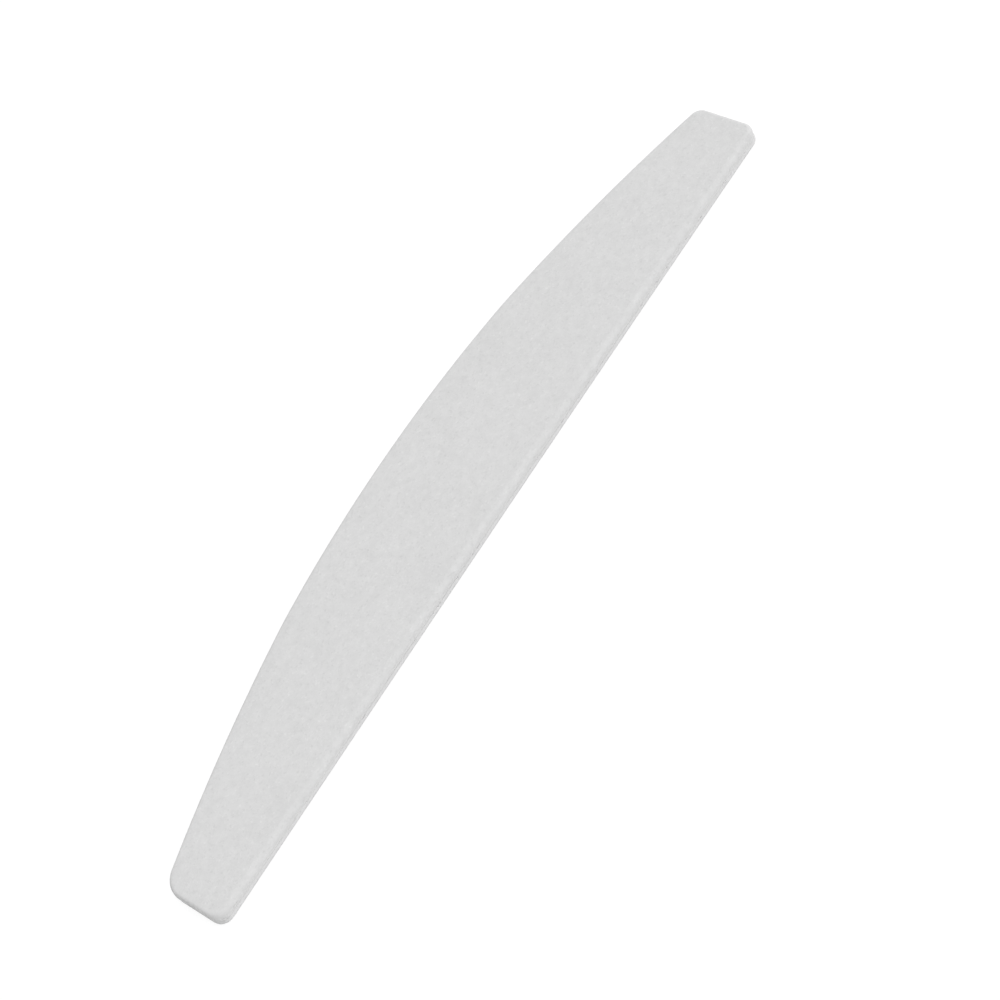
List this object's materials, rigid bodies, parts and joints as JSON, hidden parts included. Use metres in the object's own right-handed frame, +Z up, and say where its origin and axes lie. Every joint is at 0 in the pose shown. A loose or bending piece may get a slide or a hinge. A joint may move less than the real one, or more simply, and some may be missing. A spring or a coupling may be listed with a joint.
{
  "type": "emery board",
  "caption": "Flat half-moon nail file: a stiff core plate with a foam pad, a paper sheet and an abrasive coat on each face, straight on one long side and arched on the other.",
  "frame": {"origin": "centre of the bounding box's bottom face, on the flat of the lower abrasive face", "axes": "+X along the board's length, +Y across it from the straight side to the arched side, +Z up through its thickness"},
  "size_m": [0.178, 0.028, 0.0036],
  "materials": {
    "abrasive_grit": "matt, fine light grey abrasive grains in a stearate-white size coat",
    "backing_paper": "uncoated latex-treated paper",
    "white_foam": "matt closed-cell EVA foam",
    "core_plastic": "die-cut polystyrene, satin edge",
    "clear_adhesive": "clear acrylic pressure-sensitive film"
  },
  "bodies": {
    "root": {"core_plate": "core_plastic", "top_core_adhesive": "clear_adhesive", "top_foam_pad": "white_foam", "top_sheet_adhesive": "clear_adhesive", "top_backing_paper": "backing_paper", "top_grit_coat": "abrasive_grit", "bottom_core_adhesive": "clear_adhesive", "bottom_foam_pad": "white_foam", "bottom_sheet_adhesive": "clear_adhesive", "bottom_backing_paper": "backing_paper", "bottom_grit_coat": "abrasive_grit"}
  },
  "joints": []
}
